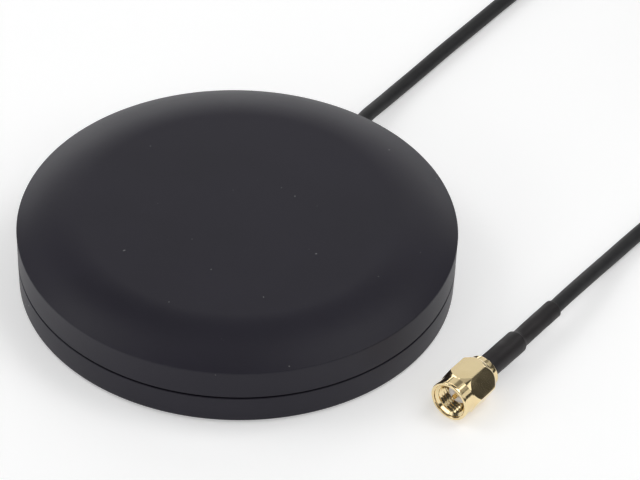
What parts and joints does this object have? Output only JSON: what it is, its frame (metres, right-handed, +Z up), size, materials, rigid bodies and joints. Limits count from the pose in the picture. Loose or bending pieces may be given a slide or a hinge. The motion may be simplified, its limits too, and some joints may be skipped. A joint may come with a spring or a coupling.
{
  "type": "gnss antenna puck",
  "caption": "Round low puck antenna for satellite positioning, with a thin coaxial cable that ends in a threaded gold plug with a turning coupling nut.",
  "frame": {"origin": "centre of the pad's underside, on the surface that the puck lies on", "axes": "+Z up out of the flat top, +Y the way the cable leaves the puck, +X towards the plug's side"},
  "size_m": [0.1123, 0.2214, 0.0161],
  "materials": {
    "housing": "matte black, fine moulded texture",
    "rubber": "matte black",
    "silicone": "matte red-brown",
    "cable_jacket": "satin black",
    "shrink": "matte black heat-shrink",
    "gold": "polished gold plating",
    "ptfe": "waxy white",
    "polyethylene": "milky",
    "steel": "zinc-plated or bright",
    "magnet": "nickel-plated",
    "copper": "bare copper",
    "silver": "fired silver",
    "board": "green solder mask",
    "ceramic": "unglazed",
    "tape": "adhesive tape",
    "chip": "moulded package"
  },
  "bodies": {
    "antenna": {"radome": "housing", "base_tray": "housing", "seal_ring": "silicone", "base_pad": "rubber", "main_board": "board", "lower_patch_tape": "tape", "upper_patch_tape": "tape", "lower_patch": "ceramic", "upper_patch": "ceramic", "lower_patch_electrode": "silver", "upper_patch_electrode": "silver", "upper_feed_pin": "silver", "lower_feed_pin": "silver", "amplifier_shield": "steel", "amplifier_chip": "chip", "voltage_regulator": "chip", "low_band_filter": "silver", "high_band_filter": "silver", "bias_inductor": "ceramic", "cable_entry": "cable_jacket", "cable_braid": "copper", "cable_core": "polyethylene", "cable_conductor": "copper", "braid_clamp": "steel", "cable_grommet": "rubber", "cable_to_coil": "cable_jacket", "cable_to_plug": "cable_jacket", "cable_coil": "cable_jacket", "coil_tie": "rubber", "plug_body": "gold", "plug_retaining_ring": "steel", "plug_gasket": "silicone", "plug_insulator": "ptfe", "plug_pin": "gold", "plug_cable_core": "polyethylene", "crimp_ferrule": "gold", "plug_cable_end": "cable_jacket", "shrink_sleeve": "shrink", "housing_screw_1": "steel", "magnet_1": "magnet", "housing_screw_2": "steel", "magnet_2": "magnet", "housing_screw_3": "steel", "magnet_3": "magnet", "housing_screw_4": "steel", "magnet_4": "magnet", "board_screw_1": "steel", "board_screw_2": "steel", "board_screw_3": "steel"},
    "coupling_nut": {"coupling_nut": "gold"}
  },
  "joints": [
    {"name": "coupling_nut_spin", "type": "hinge", "parent": "antenna", "child": "coupling_nut", "pos_m": [0.05268, -0.01525, 0.00414], "axis": [0.1392, 0.9903, 0], "continuous": true}
  ]
}
